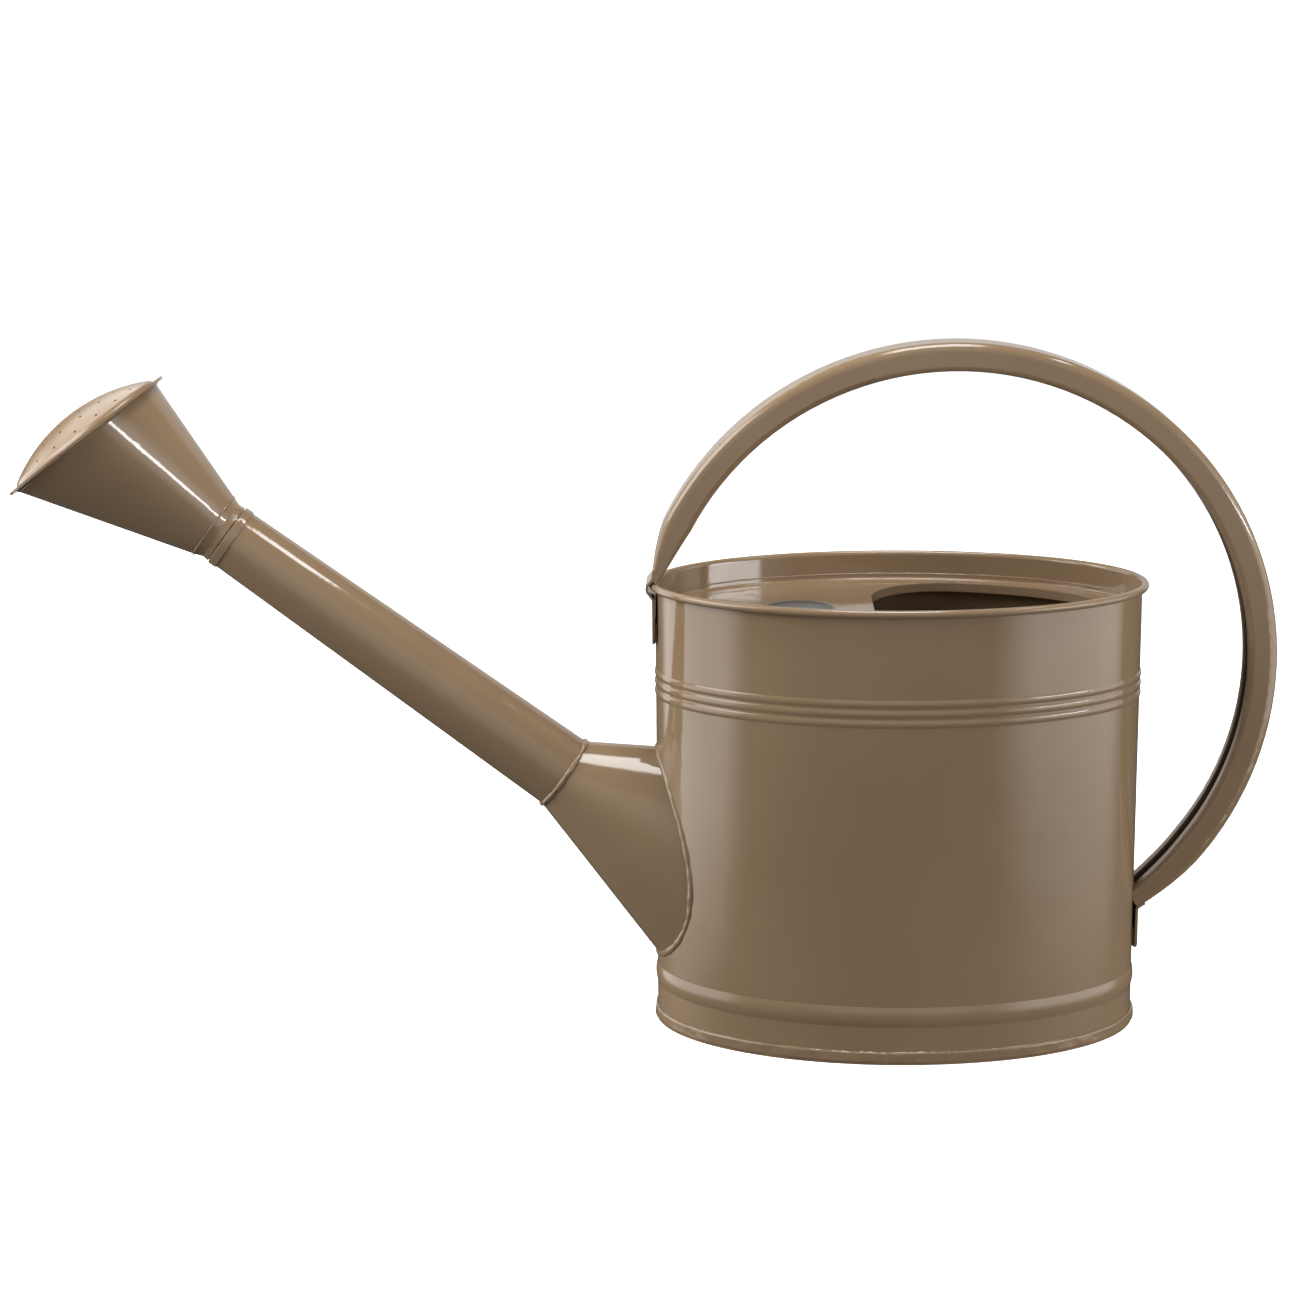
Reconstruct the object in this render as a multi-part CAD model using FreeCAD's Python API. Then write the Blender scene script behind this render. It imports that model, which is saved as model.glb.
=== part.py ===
"""Oval sheet-steel watering can with a recessed filler deck, arched handle and a pull-off rose.

Frame: origin at the centre of the base, on the surface the can stands on, +Z up. The spout
points to -X and the handle to +X. All sizes are millimetres.
"""
import FreeCAD, Part
import math
import os

V = FreeCAD.Vector

# ---- driving sizes ------------------------------------------------------------------------
# oval body
body_half_length = 112.0
body_half_width = 70.0
rim_top = 210.7
wall_sheet = 0.6
fit_gap = 0.05

# wired rim
wire_radius = 1.2
curl_end_angle = -130.0

# ridges pressed into the wall: height of the crest above the floor, width, height of the ridge
upper_ridge_top = 168.0
upper_ridge_pitch = 4.5
upper_ridge_count = 3
upper_ridge_width = 3.7
upper_ridge_height = 0.55
low_bead_height_above_floor = 22.5
low_bead_width = 9.5
low_bead_proud = 0.8

# base
base_sheet = 0.6
base_recess = 5.0
hem_height = 5.75
base_corner = 0.4
base_flat = 0.1
base_band = 4.0
base_solder_proud = 0.45
base_solder_rise = 0.8

# recessed top deck and filler opening
deck_below_rim = 13.5
deck_flange = 2.2
deck_sheet = 0.6
deck_bend = 1.0
deck_band = 4.0
deck_solder = 0.8
filler_end_margin = 15.0
filler_side_margin = 10.5
filler_straight_edge = -11.0
filler_corner_radius = 34.0
filler_lip = 4.0

# blank round label on the deck
label_radius = 17.0
label_thickness = 0.15
label_x = -45.5

# spout base, a cone soldered over a hole in the wall
spout_sheet = 0.6
spout_angle = 36.4
joint_reach = 43.5
joint_height = 118.75
joint_radius = 17.85
root_top = 130.8
root_bottom = 32.1
root_half_width = 35.4
root_side_reach = 15.4
root_depth = 24.0
root_solder_radius = 1.1

# spout tube and the ring round its mouth
tube_length = 191.4
mouth_radius = 14.8
joint_solder_radius = 0.9
ring_length = 4.2
ring_proud = 0.65
ring_edge = 0.35

# rose
plug_length = 17.0
plug_gap = 0.18
neck_seat_gap = 0.5
neck_sheet = 0.6
neck_collar_radius = 14.5
neck_shoulder = 0.35
neck_length = 7.5
neck_top_radius = 16.1
neck_solder_radius = 0.45
rose_sheet = 0.6
rose_reach = 78.6
rose_tilt = 16.73
rose_mouth_radius = 39.6
rose_flange_radius = 43.8
rose_flare = 2.2
dome_radius = 39.5
dome_rise = 12.0
dome_crown_radius = 78.0
dome_knuckle_radius = 4.0
hole_radius = 0.7
# each ring of holes: its radius, the number of holes and the first hole's share of a step
hole_rings = ((0.0, 1, 0.0), (7.8, 5, 0.25), (16.6, 9, 0.5), (25.4, 14, 0.35), (34.6, 18, 0.0))
rose_solder = 1.1

# handle, a folded channel bent to one arc
handle_sheet = 1.0
handle_width = 23.0
handle_depth = 13.0
handle_slot = 9.0
handle_shoulder = 4.5
handle_heel = 3.0
handle_reach = 197.6
handle_front_out = 6.7
handle_rear_out = 2.0
handle_rear_height = 52.5
handle_gap = 0.15
tab_sheet = 1.2
tab_corner = 5.0
tab_bend = 1.6
tab_run = 4.0
front_tab_bottom = 181.7
rear_tab_bottom = 35.2
front_leg_top = 30.0
front_leg_out = 1.5
front_leg_rise = 1.0
front_leg_depth = 3.2
front_leg_pull = 0.7
rear_leg_top = 82.0
rear_leg_foot = 55.4
rear_leg_slope = 33.0
rear_leg_depth = 8.5
rear_leg_pull = 1.0
rim_clearance = 0.1
handle_solder_half_width = 9.0
handle_solder_height = 9.0

# ---- values worked out from the driving sizes ---------------------------------------------
bead_radius = wire_radius + wall_sheet
wire_u = wire_radius
wire_z = rim_top - bead_radius
rim_out = wire_u + bead_radius
inner_u = -(wall_sheet + fit_gap)
deck_z = rim_top - deck_below_rim
spout_dir = V(-math.cos(math.radians(spout_angle)), 0, math.sin(math.radians(spout_angle)))
spout_up = V(math.sin(math.radians(spout_angle)), 0, math.cos(math.radians(spout_angle)))
joint_centre = V(-(body_half_length + joint_reach), 0, joint_height)
mouth_centre = joint_centre + spout_dir * tube_length
rose_angle = math.radians(spout_angle + rose_tilt)
rose_dir = V(-math.cos(rose_angle), 0, math.sin(rose_angle))
rose_up = V(math.sin(rose_angle), 0, math.cos(rose_angle))
rose_centre = mouth_centre + spout_dir * rose_reach


# ---- helpers ------------------------------------------------------------------------------
def rounded_wire(points, place):
    """Closed wire through (p, q, radius) corners; place(p, q) gives the point in space."""
    edges = []
    flat = [FreeCAD.Vector(p, q, 0) for p, q, _ in points]
    starts, ends, middles = [], [], []
    count = len(points)
    for i, (_, _, radius) in enumerate(points):
        here = flat[i]
        back = (flat[i - 1] - here).normalize()
        ahead = (flat[(i + 1) % count] - here).normalize()
        if radius <= 0:
            starts.append(here)
            ends.append(here)
            middles.append(None)
            continue
        half = back.getAngle(ahead) / 2
        run = radius / math.tan(half)
        towards = (back + ahead).normalize()
        starts.append(here + back * run)
        ends.append(here + ahead * run)
        middles.append(here + towards * (radius / math.sin(half) - radius))
    for i in range(count):
        if middles[i] is not None:
            three = [place(v.x, v.y) for v in (starts[i], middles[i], ends[i])]
            edges.append(Part.Arc(*three).toShape())
        following = (i + 1) % count
        if (starts[following] - ends[i]).Length > 1e-6:
            leave = place(ends[i].x, ends[i].y)
            reach = place(starts[following].x, starts[following].y)
            edges.append(Part.LineSegment(leave, reach).toShape())
    return Part.Wire(edges)


def at_wall(u, z):
    """Point u outside the wall's outer face, at the +X end of the oval."""
    return V(body_half_length + u, 0, z)


def oval_wire(grow=0.0, z=0.0):
    wire = Part.Wire([Part.Ellipse(V(0, 0, z), body_half_length, body_half_width).toShape()])
    if grow:
        curves = [e.Curve.toBSpline(*e.ParameterRange) for e in wire.makeOffset2D(grow).Edges]
        wire = Part.Wire([c.toShape() for c in curves])
    return wire


def oval_plate(grow, z, thickness):
    return Part.Face(oval_wire(grow, z)).extrude(V(0, 0, thickness))


def round_the_oval(profile):
    """Solid ring whose section, drawn at the +X end, is carried square round the oval."""
    pipe = Part.BRepOffsetAPI.MakePipeShell(oval_wire())
    pipe.setBiNormalMode(V(0, 0, 1))
    pipe.add(profile)
    pipe.build()
    pipe.makeSolid()
    return pipe.shape()


def ring_profile(points):
    return rounded_wire(points, at_wall)


def turned(points, base, axis, across):
    """Solid of revolution: (radius, station, corner) points about the line from base along axis."""

    def place(radius, station):
        return base + axis * station + across * radius

    face = Part.Face(rounded_wire(points, place))
    return face.revolve(base, axis, 360)


def circle_wire(centre, normal, across, radius, radius_side=None):
    """Circle or ellipse starting at its 'across' side, so that lofts between two don't twist."""
    side = normal.cross(across)
    turn = FreeCAD.Rotation(across, side, normal, "ZXY")
    curve = Part.Circle(V(0, 0, 0), V(0, 0, 1), radius)
    if radius_side is not None:
        curve = Part.Ellipse(V(0, 0, 0), radius, radius_side)
    wire = Part.Wire([curve.toShape()])
    wire.Placement = FreeCAD.Placement(centre, turn)
    return wire


def torus_on(centre, axis, radius, thickness):
    return Part.makeTorus(radius, thickness, centre, axis)


# ---- oval body ----------------------------------------------------------------------------
def wall_ridges():
    """(height of crest, width, how proud) of each ridge, from the floor up."""
    ridges = [(low_bead_height_above_floor, low_bead_width, low_bead_proud)]
    for i in reversed(range(upper_ridge_count)):
        crest = upper_ridge_top - i * upper_ridge_pitch
        ridges.append((crest, upper_ridge_width, upper_ridge_height))
    return ridges


def ridged_line(u, bottom, top):
    """Edges up one face of the wall, from bottom to top, bulging out at each ridge."""
    edges = []
    z = bottom
    for crest, width, proud in wall_ridges():
        low = crest - width / 2
        high = crest + width / 2
        edges.append(Part.LineSegment(at_wall(u, z), at_wall(u, low)).toShape())
        arc = Part.Arc(at_wall(u, low), at_wall(u + proud, crest), at_wall(u, high))
        edges.append(arc.toShape())
        z = high
    edges.append(Part.LineSegment(at_wall(u, z), at_wall(u, top)).toShape())
    return edges


def curl_point(radius, degrees):
    angle = math.radians(degrees)
    return at_wall(wire_u + radius * math.cos(angle), wire_z + radius * math.sin(angle))


def body_shell():
    bottom = base_sheet + fit_gap
    middle = (180 + curl_end_angle) / 2
    edges = ridged_line(0, bottom, wire_z)
    for radius in (wire_radius, bead_radius):
        three = [curl_point(radius, a) for a in (180, middle, curl_end_angle)]
        edges.append(Part.Arc(*three).toShape())
    tip = [curl_point(radius, curl_end_angle) for radius in (wire_radius, bead_radius)]
    edges.append(Part.LineSegment(*tip).toShape())
    edges += ridged_line(-wall_sheet, bottom, wire_z)
    edges.append(Part.LineSegment(at_wall(-wall_sheet, bottom), at_wall(0, bottom)).toShape())
    profile = Part.Wire(Part.__sortEdges__(edges))
    shell = round_the_oval(profile)
    return shell.cut(spout_root(spout_sheet))


def rim_wire():
    centre = at_wall(wire_u, wire_z)
    section = Part.Circle(centre, V(0, 1, 0), wire_radius - fit_gap).toShape()
    return round_the_oval(Part.Wire([section]))


# ---- base ---------------------------------------------------------------------------------
def base_plate():
    """Recessed floor with a hem folded up round the wall; the hem is rubbed flat underneath."""
    skirt = inner_u - base_sheet
    outside = fit_gap + base_sheet
    top = base_recess + base_sheet
    band = skirt - base_band
    hem = round_the_oval(
        ring_profile(
            [
                (skirt, -base_flat, base_corner),
                (outside, -base_flat, base_corner),
                (outside, hem_height, 0),
                (fit_gap, hem_height, 0),
                (fit_gap, base_sheet, 0),
                (inner_u, base_sheet, 0),
                (inner_u, top, 0),
                (band, top, 0),
                (band, base_recess, 0),
                (skirt, base_recess, 0),
            ]
        )
    )
    disc = oval_plate(skirt - base_band / 2, base_recess, base_sheet)
    length = 4 * body_half_length
    width = 4 * body_half_width
    ground = Part.makeBox(length, width, hem_height, V(-length / 2, -width / 2, -hem_height))
    return hem.fuse(disc).removeSplitter().cut(ground)


def base_seam_solder():
    face = fit_gap + base_sheet
    proud = face + base_solder_proud
    top = hem_height + base_solder_rise
    return round_the_oval(
        ring_profile(
            [
                (face, base_corner + base_solder_proud, 0),
                (proud, 2 * base_corner + base_solder_proud, 0),
                (proud, hem_height, base_solder_proud / 2),
                (0, top, 0),
                (0, hem_height, 0),
                (face, hem_height, 0),
            ]
        )
    )


# ---- recessed deck ------------------------------------------------------------------------
def filler_prism(grow, bottom, top):
    """Half-oval column: the filler opening's outline, grown outwards."""
    half_length = body_half_length - filler_end_margin + grow
    half_width = body_half_width - filler_side_margin + grow
    edge = filler_straight_edge - grow
    oval = Part.Wire([Part.Ellipse(V(0, 0, bottom), half_length, half_width).toShape()])
    column = Part.Face(oval).extrude(V(0, 0, top - bottom))
    block = Part.makeBox(
        2 * body_half_length, 4 * body_half_width, top - bottom, V(edge, -2 * body_half_width, bottom)
    )
    column = column.common(block)
    corners = []
    for e in column.Edges:
        upright = abs(e.tangentAt(e.FirstParameter).z) > 0.99
        if upright and abs(e.CenterOfMass.x - edge) < 0.01:
            corners.append(e)
    return column.makeFillet(filler_corner_radius + grow, corners)


def top_deck():
    underside = deck_z - deck_sheet
    wall_side = inner_u
    pan_side = inner_u - deck_sheet
    band = pan_side - deck_bend - deck_band
    flange_top = deck_z + deck_flange
    flange = round_the_oval(
        ring_profile(
            [
                (wall_side, flange_top, 0),
                (wall_side, underside, deck_bend + deck_sheet),
                (band, underside, 0),
                (band, deck_z, 0),
                (pan_side, deck_z, deck_bend),
                (pan_side, flange_top, 0),
            ]
        )
    )
    plate = oval_plate(band + deck_band / 2, underside, deck_sheet)
    pan = flange.fuse(plate).removeSplitter()
    lip_bottom = deck_z - filler_lip
    pan = pan.fuse(filler_prism(deck_sheet, lip_bottom, deck_z))
    return pan.cut(filler_prism(0.0, lip_bottom - 1, deck_z + 1)).removeSplitter()


def deck_solder_bead():
    flange_top = deck_z + deck_flange
    edge = inner_u - deck_sheet
    return round_the_oval(
        ring_profile(
            [
                (-wall_sheet, flange_top, 0),
                (edge, flange_top, 0),
                (-wall_sheet, flange_top + deck_solder, 0),
            ]
        )
    )


def label_disc():
    return Part.makeCylinder(label_radius, label_thickness, V(label_x, 0, deck_z))


# ---- spout --------------------------------------------------------------------------------
def spout_root(inset):
    """Closed cone from the tube joint into the body, its skin 'inset' inside the real one."""
    radius = joint_radius - inset
    high = joint_centre + spout_up * joint_radius
    low = joint_centre - spout_up * joint_radius
    front = -body_half_length
    plane = front + root_depth
    top = root_top + (root_top - high.z) / (front - high.x) * root_depth
    bottom = root_bottom + (root_bottom - low.z) / (front - low.x) * root_depth
    side_x = front + root_side_reach
    spread = (root_half_width - joint_radius) / (side_x - joint_centre.x)
    half_width = root_half_width + spread * (root_depth - root_side_reach)
    half_height = (top - bottom) / 2
    small = circle_wire(joint_centre, spout_dir * -1, spout_up, radius)
    centre = V(plane, 0, (top + bottom) / 2)
    slant = half_height / (half_height - joint_radius)
    large = circle_wire(centre, V(1, 0, 0), V(0, 0, 1), half_height - slant * inset, half_width - slant * inset)
    return Part.makeLoft([small, large], True, True)


def body_column():
    return oval_plate(0.0, -rim_top, 3 * rim_top)


def spout_base():
    skin = spout_root(0.0).cut(spout_root(spout_sheet))
    return skin.cut(body_column())


def spout_base_solder():
    """Fillet of solder where the spout base meets the wall."""
    outline = spout_root(0.0).cut(body_column())
    wall_face = max(
        (f for f in outline.Faces if "Plane" not in f.Surface.TypeId),
        key=lambda f: f.CenterOfMass.x,
    )
    path = Part.Wire(Part.__sortEdges__(wall_face.OuterWire.Edges))
    start = path.Edges[0]
    point = start.valueAt(start.FirstParameter)
    along = start.tangentAt(start.FirstParameter)
    section = Part.Wire([Part.Circle(point, along, root_solder_radius).toShape()])
    pipe = Part.BRepOffsetAPI.MakePipeShell(path)
    pipe.setBiNormalMode(V(1, 0, 0))
    pipe.add(section)
    pipe.build()
    pipe.makeSolid()
    bead = pipe.shape()
    return bead.cut(body_column()).cut(spout_root(0.0))


def tube_cone(inset):
    """Tapered core of the spout tube, 'inset' inside its outer skin."""
    return Part.makeCone(
        joint_radius - inset, mouth_radius - inset, tube_length, joint_centre, spout_dir
    )


def spout_tube():
    return tube_cone(0.0).cut(tube_cone(spout_sheet))


def spout_joint_solder():
    ring = torus_on(joint_centre, spout_dir, joint_radius, joint_solder_radius)
    return ring.cut(tube_cone(0.0)).cut(spout_root(0.0))


def spout_mouth_ring():
    outside = mouth_radius + ring_proud
    ring = turned(
        [
            (mouth_radius / 2, tube_length - ring_length, 0),
            (outside, tube_length - ring_length, ring_edge),
            (outside, tube_length, ring_edge),
            (mouth_radius / 2, tube_length, 0),
        ],
        joint_centre,
        spout_dir,
        spout_up,
    )
    return ring.cut(tube_cone(0.0))


# ---- rose ---------------------------------------------------------------------------------
def rose_neck():
    plug = mouth_radius - spout_sheet - plug_gap
    bore = plug - neck_sheet
    foot = neck_collar_radius + neck_shoulder
    top = neck_top_radius - neck_sheet
    return turned(
        [
            (bore, -plug_length, 0),
            (plug, -plug_length, neck_sheet / 3),
            (plug, neck_seat_gap, 0),
            (foot, neck_seat_gap, 0),
            (neck_collar_radius, neck_length * 0.45, neck_length / 3),
            (neck_top_radius, neck_length, 0),
            (top, neck_length, 0),
            (bore, neck_length * 0.45, 0),
        ],
        mouth_centre,
        spout_dir,
        spout_up,
    )


def rose_neck_solder():
    centre = mouth_centre + spout_dir * neck_length
    ring = torus_on(centre, spout_dir, neck_top_radius, neck_solder_radius)
    return ring.cut(rose_neck()).cut(rose_core(0.0)).cut(rose_core(rose_sheet))


def rose_core(inset):
    """Solid cone from the neck to the rose's mouth, 'inset' inside its skin."""
    start = mouth_centre + spout_dir * neck_length
    mouth = rose_centre - rose_dir * rose_flare
    small = circle_wire(start, spout_dir, spout_up, neck_top_radius - inset)
    large = circle_wire(mouth, rose_dir, rose_up, rose_mouth_radius - inset)
    return Part.makeLoft([small, large], True, True)


def rose_cone():
    wall = rose_core(0.0).cut(rose_core(rose_sheet))
    inside = rose_mouth_radius - rose_sheet
    seat = -rose_sheet / 2
    flange = turned(
        [
            (inside, -rose_flare, 0),
            (rose_mouth_radius, -rose_flare, 0),
            (rose_mouth_radius, seat - rose_sheet, rose_sheet),
            (rose_flange_radius, seat - rose_sheet, 0),
            (rose_flange_radius, seat, 0),
            (inside, seat, 2 * rose_sheet),
        ],
        rose_centre,
        rose_dir,
        rose_up,
    )
    return wall.fuse(flange).removeSplitter()


def rose_section(radius, station):
    """Point of the rose's own section: radius from its axis, station along it from the flange."""
    return rose_centre + rose_dir * station + rose_up * radius


def section_arc(radius, centre, start, end):
    """Arc in the rose's section, from angle start to end, measured from outwards to forwards."""
    three = []
    for angle in (start, (start + end) / 2, end):
        reach = radius * math.cos(angle)
        rise = radius * math.sin(angle)
        three.append(rose_section(centre[0] + reach, centre[1] + rise))
    return Part.Arc(*three)


def rose_face():
    """Domed face: a shallow crown with a tight knuckle, and a flat flange round it."""
    half = rose_sheet / 2
    crown = (0.0, dome_rise - dome_crown_radius)
    across = dome_radius - dome_knuckle_radius
    reach = dome_crown_radius - dome_knuckle_radius
    join = math.acos(across / reach)
    knuckle = (across, crown[1] + reach * math.sin(join))
    edges = []
    ends = []
    for inset, level in ((0.0, half), (rose_sheet, -half)):
        small = dome_knuckle_radius - inset
        foot = math.asin((level - knuckle[1]) / small)
        top = section_arc(dome_crown_radius - inset, crown, math.pi / 2, join)
        side = section_arc(small, knuckle, join, foot)
        edges += [top.toShape(), side.toShape()]
        ends.append((top.StartPoint, side.EndPoint, rose_section(rose_flange_radius, level)))
    for (_, foot, rim) in ends:
        edges.append(Part.LineSegment(foot, rim).toShape())
    edges.append(Part.LineSegment(ends[0][2], ends[1][2]).toShape())
    edges.append(Part.LineSegment(ends[0][0], ends[1][0]).toShape())
    section = Part.Face(Part.Wire(Part.__sortEdges__(edges)))
    face = section.revolve(rose_centre, rose_dir, 360)
    return face.cut(Part.makeCompound(rose_drills()))


def rose_drills():
    centre = rose_centre + rose_dir * (dome_rise - dome_crown_radius)
    side = rose_dir.cross(rose_up)
    drills = []
    for ring_radius, count, first in hole_rings:
        for i in range(count):
            turn = 2 * math.pi * (i + first) / count
            foot = rose_up * (ring_radius * math.cos(turn)) + side * (ring_radius * math.sin(turn))
            height = math.sqrt(dome_crown_radius ** 2 - ring_radius ** 2)
            out = (foot + rose_dir * height).normalize()
            start = centre + out * (dome_crown_radius - 3 * rose_sheet)
            drills.append(Part.makeCylinder(hole_radius, 5 * rose_sheet, start, out))
    return drills


def rose_rim_solder():
    """Solder run into the corner between the cone's collar and its flange."""
    under = -1.5 * rose_sheet
    return turned(
        [
            (rose_mouth_radius, under - rose_solder, 0),
            (rose_mouth_radius + rose_solder, under, 0),
            (rose_mouth_radius, under, rose_sheet),
        ],
        rose_centre,
        rose_dir,
        rose_up,
    )


# ---- handle -------------------------------------------------------------------------------
def handle_circle():
    """Centre and radius of the arc that the outside of the handle follows."""
    front = V(-(body_half_length + handle_front_out), 0, rim_top)
    rear = V(body_half_length + handle_rear_out, 0, handle_rear_height)
    chord = rear - front
    half = chord.Length / 2
    radius = (half ** 2 + handle_reach ** 2) / (2 * handle_reach)
    away = V(-chord.z, 0, chord.x).normalize()
    middle = (front + rear) * 0.5
    return middle + away * (handle_reach - radius), radius


def channel_wire(outside, outwards, depth):
    """Folded channel section: 'outside' is the middle of its back, open towards the inside."""
    half = handle_width / 2
    sheet = handle_sheet
    if depth < 2 * (handle_shoulder + handle_heel):
        scale = depth / (2 * (handle_shoulder + handle_heel))
    else:
        scale = 1.0
    shoulder = max(handle_shoulder * scale, 1.05 * sheet)
    heel = max(handle_heel * scale, 1.05 * sheet)
    slot = handle_slot / 2

    def place(p, q):
        return outside + V(0, 1, 0) * p + outwards * q

    return rounded_wire(
        [
            (slot, -depth, 0),
            (half, -depth, heel),
            (half, 0, shoulder),
            (-half, 0, shoulder),
            (-half, -depth, heel),
            (-slot, -depth, 0),
            (-slot, sheet - depth, 0),
            (sheet - half, sheet - depth, heel - sheet),
            (sheet - half, -sheet, shoulder - sheet),
            (half - sheet, -sheet, shoulder - sheet),
            (half - sheet, sheet - depth, heel - sheet),
            (slot, sheet - depth, 0),
        ],
        place,
    )


def arc_angle(height):
    """Angle, above or below the arc's centre, at which the handle is at this height."""
    centre, radius = handle_circle()
    return math.asin((height - centre.z) / radius)


def handle_arch():
    centre, radius = handle_circle()
    start = math.pi - arc_angle(rim_top + front_leg_top)
    out = V(math.cos(start), 0, math.sin(start))
    section = Part.Face(channel_wire(centre + out * radius, out, handle_depth))
    return section.revolve(centre, V(0, 1, 0), math.degrees(start - arc_angle(rear_leg_top)))


def leg(start, turn, foot, foot_way, depth, pull):
    """Channel leaving the arc at an angle and flattening on its way to a foot on the body.

    turn is 1 where the leg goes on anticlockwise, -1 clockwise; foot_way is its last direction.
    """
    centre, radius = handle_circle()
    out = V(math.cos(start), 0, math.sin(start))
    top = centre + out * radius
    along = V(-out.z, 0, out.x) * turn
    foot_out = V(foot_way.z, 0, -foot_way.x) * turn
    run = (foot - top).Length * pull
    steps = 6
    sections = []
    for i in range(steps + 1):
        t = i / steps
        ease = 3 * t ** 2 - 2 * t ** 3
        here = (
            top * (1 - ease)
            + along * (run * (t ** 3 - 2 * t ** 2 + t))
            + foot * ease
            + foot_way * (run * (t ** 3 - t ** 2))
        )
        lean = (out * (1 - t) + foot_out * t).normalize()
        flat = t ** 1.5
        sections.append(channel_wire(here, lean, handle_depth + (depth - handle_depth) * flat))
    return Part.makeLoft(sections, True, True)


def front_leg():
    start = math.pi - arc_angle(rim_top + front_leg_top)
    foot = V(-(body_half_length + front_leg_out), 0, rim_top + front_leg_rise)
    return leg(start, 1, foot, V(0, 0, -1), front_leg_depth, front_leg_pull)


def rear_foot():
    return V(body_half_length + handle_gap + tab_sheet, 0, rear_leg_foot)


def rear_way():
    slope = math.radians(rear_leg_slope)
    return V(-math.cos(slope), 0, -math.sin(slope))


def rear_leg():
    """Runs into the wall, so it is cut off along it."""
    start = arc_angle(rear_leg_top)
    shape = leg(start, -1, rear_foot(), rear_way(), rear_leg_depth, rear_leg_pull)
    return shape.cut(oval_plate(handle_gap, 0.0, rim_top))


def strap(path, inner_side):
    """Bent strap of the handle's width: path is its outer face as (x, z), seen from the side.

    inner_side is 1 where the body lies to the left of the path's direction, -1 to its right.
    """
    points = [V(x, 0, z) for x, z in path]
    ways = [(after - before).normalize() for before, after in zip(points, points[1:])]
    normals = [V(-w.z, 0, w.x) * inner_side for w in ways]
    outer = [(points[0].x, points[0].z, 0)]
    inner = [points[0] + normals[0] * tab_sheet]
    inner = [(inner[0].x, inner[0].z, 0)]
    for i in range(1, len(points) - 1):
        before, after = normals[i - 1], normals[i]
        mitre = (before + after) * (tab_sheet / (1 + before.dot(after)))
        turn = ways[i - 1].z * ways[i].x - ways[i - 1].x * ways[i].z
        folds_inwards = -turn * inner_side > 0
        outer_bend = tab_bend + tab_sheet if folds_inwards else tab_bend
        inner_bend = tab_bend if folds_inwards else tab_bend + tab_sheet
        outer.append((points[i].x, points[i].z, outer_bend))
        inner.append((points[i].x + mitre.x, points[i].z + mitre.z, inner_bend))
    last = points[-1] + normals[-1] * tab_sheet
    outer.append((points[-1].x, points[-1].z, 0))
    inner.append((last.x, last.z, 0))
    side = rounded_wire(outer + inner[::-1], lambda p, q: V(p, -handle_width / 2, q))
    return Part.Face(side).extrude(V(0, handle_width, 0))


def round_tab_end(shape, bottom):
    """Rounds the two lower corners of a tab."""
    half = handle_width / 2
    face = Part.Face(
        rounded_wire(
            [
                (-half, bottom, tab_corner),
                (half, bottom, tab_corner),
                (half, 3 * rim_top, 0),
                (-half, 3 * rim_top, 0),
            ],
            lambda p, q: V(-3 * body_half_length, p, q),
        )
    )
    return shape.common(face.extrude(V(6 * body_half_length, 0, 0)))


def front_tab():
    flat = -(body_half_length + handle_gap + tab_sheet)
    bump = -(body_half_length + rim_out + rim_clearance + tab_sheet)
    upper = -(body_half_length + front_leg_out)
    path = [
        (upper + handle_sheet / 2, rim_top + 1.5 * tab_bend + tab_run),
        (upper, rim_top + 1.5 * tab_bend),
        (bump, wire_z + bead_radius / 2),
        (bump, wire_z - bead_radius),
        (flat, wire_z - bead_radius - 2.5 * tab_bend),
        (flat, front_tab_bottom),
    ]
    return round_tab_end(strap(path, 1), front_tab_bottom)


def rear_tab():
    foot = rear_foot()
    reach = foot - rear_way() * tab_run
    path = [(reach.x, reach.z), (foot.x, foot.z), (foot.x, rear_tab_bottom)]
    return round_tab_end(strap(path, -1), rear_tab_bottom)


def handle():
    arch = handle_arch()
    return arch.fuse([front_leg(), rear_leg(), front_tab(), rear_tab()]).removeSplitter()


def tab_solder(face_x, bottom, direction):
    """Solder filling the wedge between a flat tab and the curved wall."""
    block = Part.makeBox(
        2 * tab_sheet + 1,
        2 * handle_solder_half_width,
        handle_solder_height,
        V(min(face_x, face_x - direction * (2 * tab_sheet + 1)), -handle_solder_half_width, bottom),
    )
    return block.cut(body_column())


def handle_front_solder():
    face = -(body_half_length + handle_gap)
    return tab_solder(face, front_tab_bottom + 1, -1)


def handle_rear_solder():
    face = body_half_length + handle_gap
    return tab_solder(face, rear_tab_bottom + 1, 1)


# ---- write every piece --------------------------------------------------------------------
PIECES = {
    "body_shell": body_shell,
    "rim_wire": rim_wire,
    "base_plate": base_plate,
    "base_seam_solder": base_seam_solder,
    "top_deck": top_deck,
    "deck_solder": deck_solder_bead,
    "label_disc": label_disc,
    "spout_base": spout_base,
    "spout_base_solder": spout_base_solder,
    "spout_tube": spout_tube,
    "spout_joint_solder": spout_joint_solder,
    "spout_mouth_ring": spout_mouth_ring,
    "handle": handle,
    "handle_front_solder": handle_front_solder,
    "handle_rear_solder": handle_rear_solder,
    "rose_neck": rose_neck,
    "rose_neck_solder": rose_neck_solder,
    "rose_cone": rose_cone,
    "rose_face": rose_face,
    "rose_rim_solder": rose_rim_solder,
}

os.makedirs("parts", exist_ok=True)
for name, make in PIECES.items():
    shape = make()
    print(name, shape.ShapeType, len(shape.Solids), round(shape.Volume, 1), shape.isValid())
    shape.exportStep(os.path.join("parts", name + ".step"))
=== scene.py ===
"""Oval enamelled watering can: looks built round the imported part, in metres and in its frame."""

import math

import bpy
from mathutils import Matrix, Vector


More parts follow.
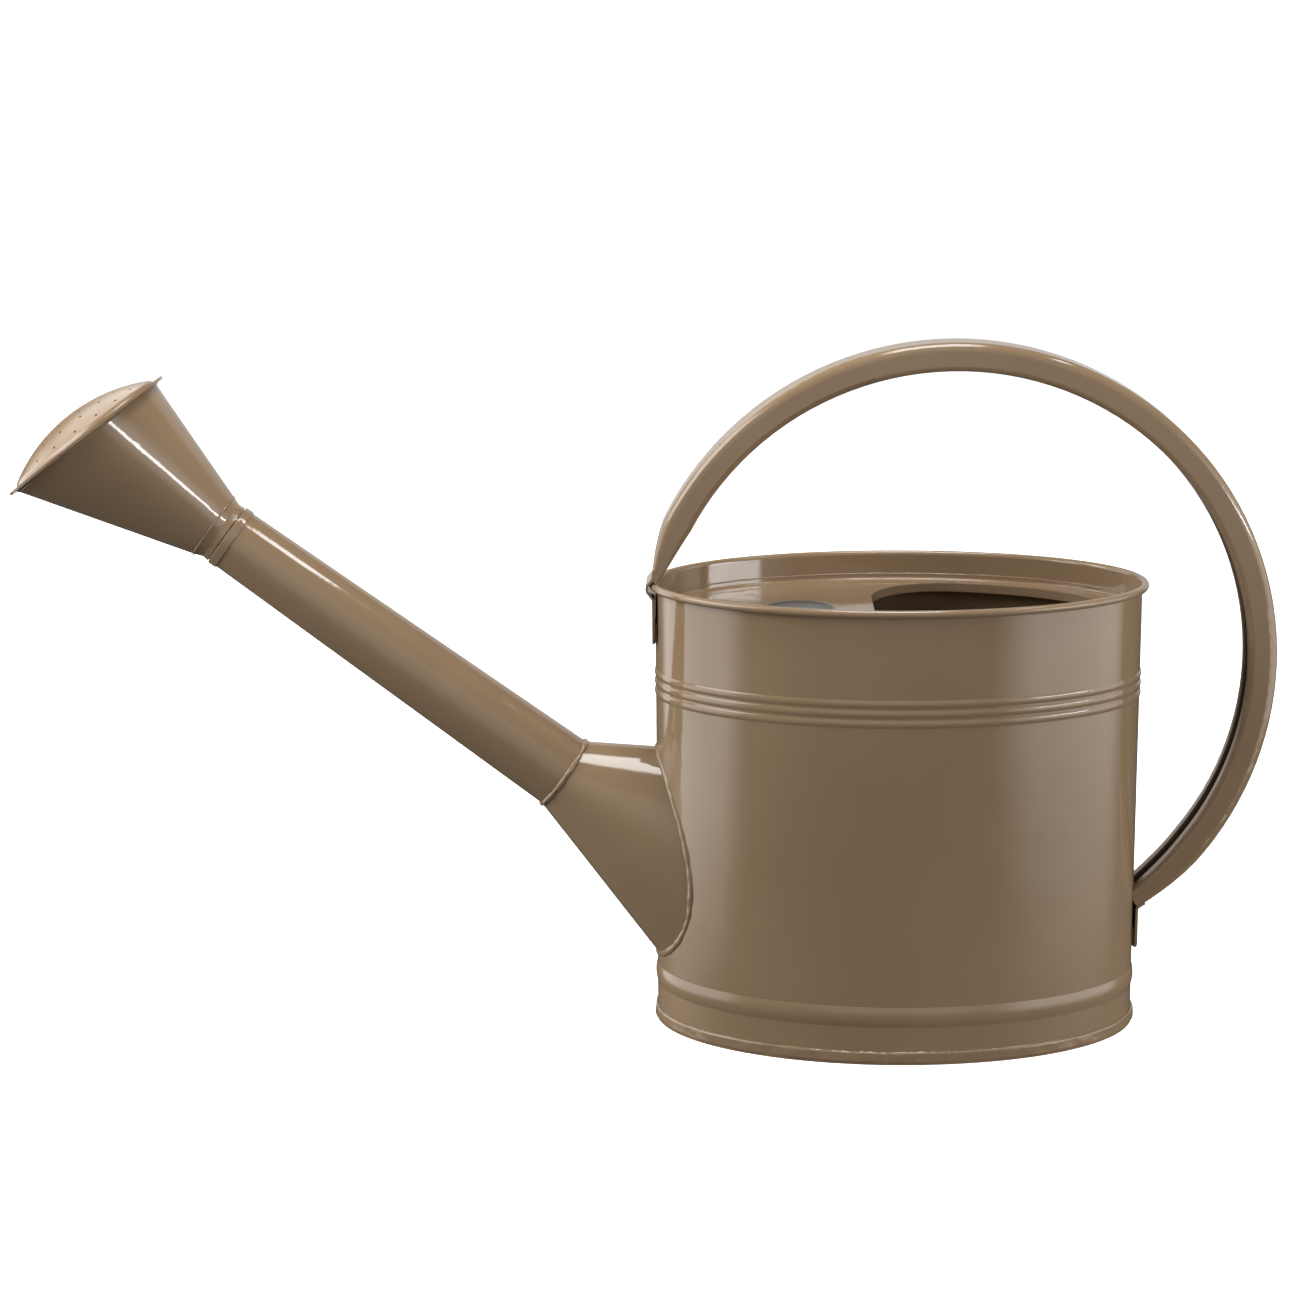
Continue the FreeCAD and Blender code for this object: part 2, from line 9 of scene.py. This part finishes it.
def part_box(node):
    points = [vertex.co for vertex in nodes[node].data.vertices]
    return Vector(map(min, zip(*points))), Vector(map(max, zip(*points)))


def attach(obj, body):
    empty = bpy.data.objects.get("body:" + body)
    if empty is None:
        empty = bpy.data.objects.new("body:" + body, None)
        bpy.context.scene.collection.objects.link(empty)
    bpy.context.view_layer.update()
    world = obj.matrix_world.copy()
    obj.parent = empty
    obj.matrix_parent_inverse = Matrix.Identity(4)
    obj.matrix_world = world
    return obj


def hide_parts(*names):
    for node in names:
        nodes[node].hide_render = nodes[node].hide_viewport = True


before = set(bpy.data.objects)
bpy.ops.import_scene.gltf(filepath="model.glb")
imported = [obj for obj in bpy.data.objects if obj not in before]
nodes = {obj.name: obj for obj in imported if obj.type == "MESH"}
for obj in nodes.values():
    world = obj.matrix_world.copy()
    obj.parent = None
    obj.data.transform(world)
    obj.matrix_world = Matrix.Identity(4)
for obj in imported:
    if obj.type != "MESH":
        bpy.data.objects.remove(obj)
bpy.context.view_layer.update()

# ---- Wall ---------------------------------------------------------------------------------
# The oval wall is one strip of 0.6 mm sheet steel, swaged with three fine ridges and a low
# bead, its top edge curled over a wire. Like the rest of the can it is dipped in taupe
# enamel after soldering and stoved, so it has a deep gloss with a faint orange peel.
ENAMEL_LIGHT = "#90795f"
ENAMEL_DARK = "#8a7359"


def linear_colour(hex_code):
    """sRGB hex colour as the linear values that a shader wants."""
    values = [int(hex_code[i : i + 2], 16) / 255 for i in (1, 3, 5)]
    linear = [v / 12.92 if v <= 0.04045 else ((v + 0.055) / 1.055) ** 2.4 for v in values]
    return (*linear, 1.0)


def add_node(tree, kind, settings=None, links=None):
    """Adds a shader node; links are (output socket, name of the input it feeds)."""
    node = tree.nodes.new(kind)
    for name, value in (settings or {}).items():
        if name in node.inputs:
            node.inputs[name].default_value = value
        else:
            setattr(node, name, value)
    for socket, entry in links or []:
        tree.links.new(socket, node.inputs[entry])
    return node


def empty_material(name):
    """New material with an empty node tree."""
    material = bpy.data.materials.new(name)
    material.use_nodes = True
    material.node_tree.nodes.clear()
    return material, material.node_tree


def noise(tree, place, size_mm, detail=2.0):
    """Noise whose lumps are about size_mm across."""
    settings = {"Scale": 1000 / size_mm, "Detail": detail, "Roughness": 0.5}
    return add_node(tree, "ShaderNodeTexNoise", settings, [(place, "Vector")]).outputs["Fac"]


def two_tones(tree, mask, low, high, first, second):
    """Colour ramp from first to second as the mask goes from low to high."""
    ramp = add_node(tree, "ShaderNodeValToRGB", {}, [(mask, "Fac")])
    for stop, at, colour in zip(ramp.color_ramp.elements, (low, high), (first, second)):
        stop.position = at
        stop.color = linear_colour(colour)
    return ramp.outputs["Color"]


def bump(tree, height, depth_mm, strength, normal=None):
    """Relief of depth_mm over the surface, or over the relief that normal already has."""
    links = [(height, "Height")]
    if normal:
        links.append((normal, "Normal"))
    settings = {"Strength": strength, "Distance": depth_mm / 1000}
    return add_node(tree, "ShaderNodeBump", settings, links).outputs["Normal"]


def stoved_enamel(name, gloss=0.06, peel=0.06, sag=0.12, sag_mm=26, stain=None):
    """Dipped and stoved enamel: even taupe, deep gloss, fine orange peel over slow sags.

    gloss is the roughness, so a small value shines. stain is a function of the tree, the place
    and the colour that gives the marked colour back.
    """
    material, tree = empty_material(name)
    place = add_node(tree, "ShaderNodeTexCoord").outputs["Object"]
    clouds = noise(tree, place, size_mm=90)
    colour = two_tones(tree, clouds, 0.35, 0.65, ENAMEL_DARK, ENAMEL_LIGHT)
    if stain:
        colour = stain(tree, place, colour)
    fine, slow = noise(tree, place, size_mm=2.2, detail=1.0), noise(tree, place, sag_mm, detail=1.0)
    skin = bump(tree, fine, depth_mm=0.25, strength=peel)
    skin = bump(tree, slow, depth_mm=1.2, strength=sag, normal=skin)
    shader = add_node(
        tree,
        "ShaderNodeBsdfPrincipled",
        {"Roughness": gloss, "IOR": 1.52},
        [(colour, "Base Color"), (skin, "Normal")],
    )
    add_node(tree, "ShaderNodeOutputMaterial", {}, [(shader.outputs["BSDF"], "Surface")])
    return material


def finish_node(name, material):
    """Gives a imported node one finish."""
    mesh = nodes[name].data
    mesh.materials.clear()
    mesh.materials.append(material)


wall_enamel = stoved_enamel("stoved_enamel_on_rolled_wall")
finish_node("body_shell", wall_enamel)

# ---- Rim wire -----------------------------------------------------------------------------
# A drawn steel wire lies inside the curl of the rim and stiffens it. It is bare metal with
# fine lengthwise die marks, held by the curl and hidden in it.


def drawn_wire(name):
    """Drawn steel: grey metal, semi-bright, streaked round the oval by the drawing die."""
    material, tree = empty_material(name)
    place = add_node(tree, "ShaderNodeTexCoord").outputs["Object"]
    stretched = add_node(tree, "ShaderNodeMapping", {}, [(place, "Vector")])
    stretched.inputs["Scale"].default_value = (0.1, 0.1, 6.0)
    streaks = noise(tree, stretched.outputs["Vector"], size_mm=0.8)
    colour = two_tones(tree, streaks, 0.3, 0.7, "#8a8883", "#a5a39e")
    scored = bump(tree, streaks, depth_mm=0.02, strength=0.3)
    shader = add_node(
        tree,
        "ShaderNodeBsdfPrincipled",
        {"Metallic": 1.0, "Roughness": 0.35},
        [(colour, "Base Color"), (scored, "Normal")],
    )
    add_node(tree, "ShaderNodeOutputMaterial", {}, [(shader.outputs["BSDF"], "Surface")])
    return material


finish_node("rim_wire", drawn_wire("drawn_steel_wire"))

# ---- Base ---------------------------------------------------------------------------------
# The floor is a pressed oval pan with its hem folded up outside the wall. The seam is
# flooded with solder, which stands in an uneven ledge under the enamel.
finish_node("base_plate", stoved_enamel("stoved_enamel_on_pressed_floor", peel=0.1))


def run_solder(
    node_name, piece_name, body, lump_mm, rise_mm, grain_mm=0.28, swell_mm=0.0, sink_mm=0.0
):
    """Hand-run solder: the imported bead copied, closed up at grain_mm and made uneven.

    swell_mm fattens it. sink_mm moves it back along +X, which takes a bead at the spout's root
    into the can, so that it meets the wall at a low angle.
    """
    piece = bpy.data.objects.new(piece_name, nodes[node_name].data.copy())
    bpy.context.scene.collection.objects.link(piece)
    bpy.ops.object.select_all(action="DESELECT")
    bpy.context.view_layer.objects.active = piece
    piece.select_set(True)
    bpy.ops.object.mode_set(mode="EDIT")
    bpy.ops.mesh.select_all(action="SELECT")
    bpy.ops.mesh.remove_doubles(threshold=0.00001)
    bpy.ops.object.mode_set(mode="OBJECT")
    skin = piece.modifiers.new("closed", "REMESH")
    skin.mode = "VOXEL"
    skin.voxel_size = grain_mm / 1000
    if swell_mm:
        fatter = piece.modifiers.new("fatter", "DISPLACE")
        fatter.mid_level = 0.0
        fatter.strength = swell_mm / 1000
    lumps = bpy.data.textures.new(piece_name + "_lumps", "CLOUDS")
    lumps.noise_scale = lump_mm / 1000
    lumps.noise_depth = 1
    uneven = piece.modifiers.new("uneven", "DISPLACE")
    uneven.texture = lumps
    uneven.strength = rise_mm / 1000
    uneven.mid_level = 0.45
    soft = piece.modifiers.new("flowed", "SMOOTH")
    soft.iterations = 3
    for step in [modifier.name for modifier in piece.modifiers]:
        bpy.ops.object.modifier_apply(modifier=step)
    piece.data.transform(Matrix.Translation((sink_mm / 1000, 0, 0)))
    bpy.ops.object.shade_smooth()
    piece.data.materials.clear()
    piece.data.materials.append(solder_enamel)
    piece.select_set(False)
    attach(piece, body)
    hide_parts(node_name)


solder_enamel = stoved_enamel("stoved_enamel_over_solder", peel=0.12, sag=0.3, sag_mm=5)
run_solder("base_seam_solder", "base_seam_ledge", "can", lump_mm=13, rise_mm=1.3, grain_mm=0.36)

# ---- Deck ---------------------------------------------------------------------------------
# The recessed deck is a pressed tray soldered inside the wall, cut open in a half oval with
# the edge turned down as a lip. A blank round film label is stuck on its closed half.
finish_node("top_deck", stoved_enamel("stoved_enamel_on_pressed_deck"))
run_solder("deck_solder", "deck_seam_solder", "can", lump_mm=6, rise_mm=0.5, grain_mm=0.22)


def arithmetic(tree, operation, first, second=None):
    """One step of shader arithmetic on a socket; second is a socket or a number."""
    step = add_node(tree, "ShaderNodeMath", {"operation": operation}, [(first, 0)])
    if isinstance(second, bpy.types.NodeSocket):
        tree.links.new(second, step.inputs[1])
    elif second is not None:
        step.inputs[1].default_value = second
    return step.outputs[0]


def distance_from(tree, place, point):
    """Distance of each place on the surface from a point, in metres."""
    away = add_node(tree, "ShaderNodeVectorMath", {"operation": "DISTANCE"}, [(place, 0)])
    away.inputs[1].default_value = point
    return away.outputs["Value"]


def film_label(name, middle, radius):
    """Gloss film without print: grey middle, silver line, dark band and silver edge."""
    material, tree = empty_material(name)
    place = add_node(tree, "ShaderNodeTexCoord").outputs["Object"]
    share = arithmetic(tree, "DIVIDE", distance_from(tree, place, middle), radius)
    rings = add_node(tree, "ShaderNodeValToRGB", {}, [(share, "Fac")])
    stops = rings.color_ramp
    stops.interpolation = "CONSTANT"
    stops.elements.remove(stops.elements[1])
    stops.elements[0].color = linear_colour("#5b5c5e")
    # each ring: the share of the radius where it starts, and its colour
    for inner, colour in ((0.52, "#2e2d2c"), (0.56, "#77777a"), (0.62, "#323130"), (0.92, "#85837f")):
        stops.elements.new(inner).color = linear_colour(colour)
    shader = add_node(
        tree,
        "ShaderNodeBsdfPrincipled",
        {"Roughness": 0.18, "IOR": 1.49, "Metallic": 0.35},
        [(rings.outputs["Color"], "Base Color")],
    )
    add_node(tree, "ShaderNodeOutputMaterial", {}, [(shader.outputs["BSDF"], "Surface")])
    return material


label_low, label_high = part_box("label_disc")
label_middle = (label_low + label_high) / 2
label_radius = (label_high.x - label_low.x) / 2
finish_node("label_disc", film_label("gloss_film_label", label_middle, label_radius))

# ---- Spout --------------------------------------------------------------------------------
# A flattened cone of sheet soldered over a hole in the wall, and a long tapered tube soldered
# to it, with a narrow ring round the mouth. Solder shows as small beads under the enamel.
for name in ("spout_base", "spout_tube"):
    finish_node(name, wall_enamel)
finish_node("spout_mouth_ring", solder_enamel)
run_solder(
    "spout_base_solder", "spout_base_bead", "can", lump_mm=8, rise_mm=1.2, swell_mm=0.9, sink_mm=1.2
)
run_solder("spout_joint_solder", "spout_joint_bead", "can", lump_mm=5, rise_mm=0.9, swell_mm=0.2)

# ---- Rose ---------------------------------------------------------------------------------
# The rose pulls off the spout: a short tube for a neck, a wide slanted cone and a domed face
# pierced in rings, soldered together at a thin flange. All of it is enamelled like the body,
# the face less glossy, and a few dots of rust show where the neck has rubbed.
neck_low, neck_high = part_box("rose_neck")
rust_middle = Vector(((neck_low.x + neck_high.x) / 2 - 0.007, neck_low.y + 0.002, neck_low.z + 0.02))
RUST_REACH = 0.009
RUST_DOTS_PER_METRE = 320.0
RUST_DOT_SHARE = 0.12


def rust_dots(tree, place, colour):
    """Colour with a few dots of brown rust in it, on one side of the neck only."""
    near = arithmetic(tree, "LESS_THAN", distance_from(tree, place, rust_middle), RUST_REACH)
    cells = {"Scale": RUST_DOTS_PER_METRE, "Randomness": 1.0}
    dots = add_node(tree, "ShaderNodeTexVoronoi", cells, [(place, "Vector")])
    small = arithmetic(tree, "LESS_THAN", dots.outputs["Distance"], RUST_DOT_SHARE)
    spot = arithmetic(tree, "MULTIPLY", near, small)
    marked = add_node(tree, "ShaderNodeMix", {"data_type": "RGBA"}, [(spot, "Factor")])
    colour_in, rust_in = marked.inputs[6], marked.inputs[7]
    tree.links.new(colour, colour_in)
    rust_in.default_value = linear_colour("#8a4a1c")
    return marked.outputs[2]


rose_enamel = stoved_enamel("stoved_enamel_on_spun_rose", sag=0.08)
neck_enamel = stoved_enamel("stoved_enamel_rubbed_at_neck", sag=0.3, sag_mm=8, stain=rust_dots)
finish_node("rose_neck", neck_enamel)
finish_node("rose_cone", rose_enamel)
finish_node("rose_face", stoved_enamel("stoved_enamel_on_pressed_dome", gloss=0.22))
run_solder("rose_neck_solder", "rose_neck_bead", "rose", lump_mm=4, rise_mm=0.5, grain_mm=0.16)
run_solder("rose_rim_solder", "rose_rim_bead", "rose", lump_mm=6, rise_mm=0.5, grain_mm=0.2)

# ---- Handle -------------------------------------------------------------------------------
# One strip of 1 mm sheet folded to a channel and bent to a single arc. Its ends are pinched
# to flat tabs and soldered to the wall, each by a small pad; the front one is cranked past
# the rim. It is enamelled with the can.
finish_node("handle", stoved_enamel("stoved_enamel_on_folded_channel", sag=0.1, sag_mm=18))
run_solder("handle_front_solder", "handle_front_pad", "can", lump_mm=4, rise_mm=0.4)
run_solder("handle_rear_solder", "handle_rear_pad", "can", lump_mm=4, rise_mm=0.4)

# ---- Studio -------------------------------------------------------------------------------
# Pale paper floor under soft boxes at the left, upper left, back left, right, back, overhead
# and weakly in front, with two narrow bright strips at the right. Bounced light neither sees
# the paper nor is stopped by it, so the underside stays as dark as on a raised stand.
FLOOR_SIZE = 400.0
bpy.ops.mesh.primitive_plane_add(size=FLOOR_SIZE, location=(0, 0, 0))
floor = bpy.context.object
floor.name = "floor"
floor.visible_diffuse = False
floor.visible_glossy = False
floor.visible_shadow = False
paper, paper_tree = empty_material("pale_studio_paper")
paper_shader = add_node(
    paper_tree,
    "ShaderNodeBsdfPrincipled",
    {"Base Color": linear_colour("#e8e8e6"), "Roughness": 0.95, "Emission Strength": 1.0},
)
paper_shader.inputs["Emission Color"].default_value = (1, 1, 1, 1)
add_node(paper_tree, "ShaderNodeOutputMaterial", {}, [(paper_shader.outputs["BSDF"], "Surface")])
floor.data.materials.append(paper)

# the room is white to the camera and nearly dark to the can
world = bpy.data.worlds.new("studio")
world.use_nodes = True
room = world.node_tree
room.nodes.clear()
seen = add_node(room, "ShaderNodeLightPath").outputs["Is Camera Ray"]
dim = add_node(room, "ShaderNodeBackground", {"Color": (1, 1, 1, 1), "Strength": 0.06})
pale = add_node(room, "ShaderNodeBackground", {"Color": (1, 1, 1, 1), "Strength": 1.0})
mix_links = [(seen, 0), (dim.outputs[0], 1), (pale.outputs[0], 2)]
mix = add_node(room, "ShaderNodeMixShader", {}, mix_links)
add_node(room, "ShaderNodeOutputWorld", {}, [(mix.outputs[0], "Surface")])
bpy.context.scene.world = world


def soft_edge(tree, side, fade):
    """1 in the middle of a side that runs from 0 to 1, falling to 0 over its outer fade."""
    away = arithmetic(tree, "ABSOLUTE", arithmetic(tree, "SUBTRACT", side, 0.5))
    edge = {"interpolation_type": "SMOOTHSTEP", "From Min": 0.5 - fade, "From Max": 0.5}
    edge.update({"To Min": 1.0, "To Max": 0.0})
    return add_node(tree, "ShaderNodeMapRange", edge, [(away, "Value")]).outputs[0]


def soft_box(name, place, target, size, radiance, fade=0.3):
    """Rectangular soft box of size (width, height) at place, turned to the target, in metres."""
    width, height = size
    light = bpy.data.lights.new(name, "AREA")
    light.shape = "RECTANGLE"
    light.size = width
    light.size_y = height
    light.energy = radiance * math.pi * width * height
    light.use_nodes = True
    tree = light.node_tree
    tree.nodes.clear()
    across = add_node(tree, "ShaderNodeNewGeometry").outputs["Parametric"]
    sides = add_node(tree, "ShaderNodeSeparateXYZ", {}, [(across, 0)]).outputs
    both = arithmetic(
        tree, "MULTIPLY", soft_edge(tree, sides["X"], fade), soft_edge(tree, sides["Y"], fade)
    )
    glow = add_node(tree, "ShaderNodeEmission", {}, [(both, "Strength")])
    add_node(tree, "ShaderNodeOutputLight", {}, [(glow.outputs[0], "Surface")])
    holder = bpy.data.objects.new(name, light)
    bpy.context.scene.collection.objects.link(holder)
    holder.location = place
    holder.rotation_euler = (Vector(target) - Vector(place)).to_track_quat("-Z", "Y").to_euler()
    holder.visible_camera = False


soft_box("left_box", (-1.3, 0.08, 0.15), (0, 0, 0.15), size=(2.4, 1.3), radiance=2.5, fade=0.25)
soft_box("left_upper_box", (-1.15, -0.25, 0.95), (0, 0, 0.15), size=(1.5, 1.0), radiance=7.0)
soft_box("left_back_box", (-0.85, 0.85, 0.95), (0, 0, 0.15), size=(1.2, 0.9), radiance=1.8)
soft_box("right_box", (1.32, -0.47, 0.25), (0, 0, 0.25), size=(2.5, 1.6), radiance=2.3)
soft_box("right_strip", (2.6, -1.4, 0.76), (0, 0, 0.2), size=(1.7, 0.22), radiance=19.0, fade=0.1)
soft_box(
    "right_high_strip", (0.87, -0.12, 1.89), (-0.3, 0, 0.27), size=(0.6, 0.12), radiance=14.0, fade=0.1
)
soft_box("back_box", (0.3, 1.9, 0.6), (0, 0, 0.2), size=(3.6, 1.9), radiance=0.6, fade=0.2)
soft_box("top_box", (0.0, -0.1, 1.55), (0, -0.1, 0), size=(0.6, 1.0), radiance=11.0, fade=0.2)
soft_box("front_box", (0.1, -2.0, 0.6), (0, 0, 0.1), size=(2.4, 2.2), radiance=0.45, fade=0.2)

# long lens at the can's left flank, turned, tipped down and rolled a little (in radians)
CAMERA_PLACE = (-0.0822, -1.31766, 0.47377)
CAMERA_TURN = 0.02462
CAMERA_TIP = 0.22119
CAMERA_ROLL = -0.00738
camera = bpy.data.cameras.new("camera")
camera.sensor_width = 36.0
camera.lens = 80.54
viewer = bpy.data.objects.new("camera", camera)
bpy.context.scene.collection.objects.link(viewer)
viewer.matrix_world = (
    Matrix.Translation(CAMERA_PLACE)
    @ Matrix.Rotation(CAMERA_TURN, 4, "Z")
    @ Matrix.Rotation(math.pi / 2 - CAMERA_TIP, 4, "X")
    @ Matrix.Rotation(CAMERA_ROLL, 4, "Z")
)
bpy.context.scene.camera = viewer
bpy.context.scene.view_settings.view_transform = "Standard"
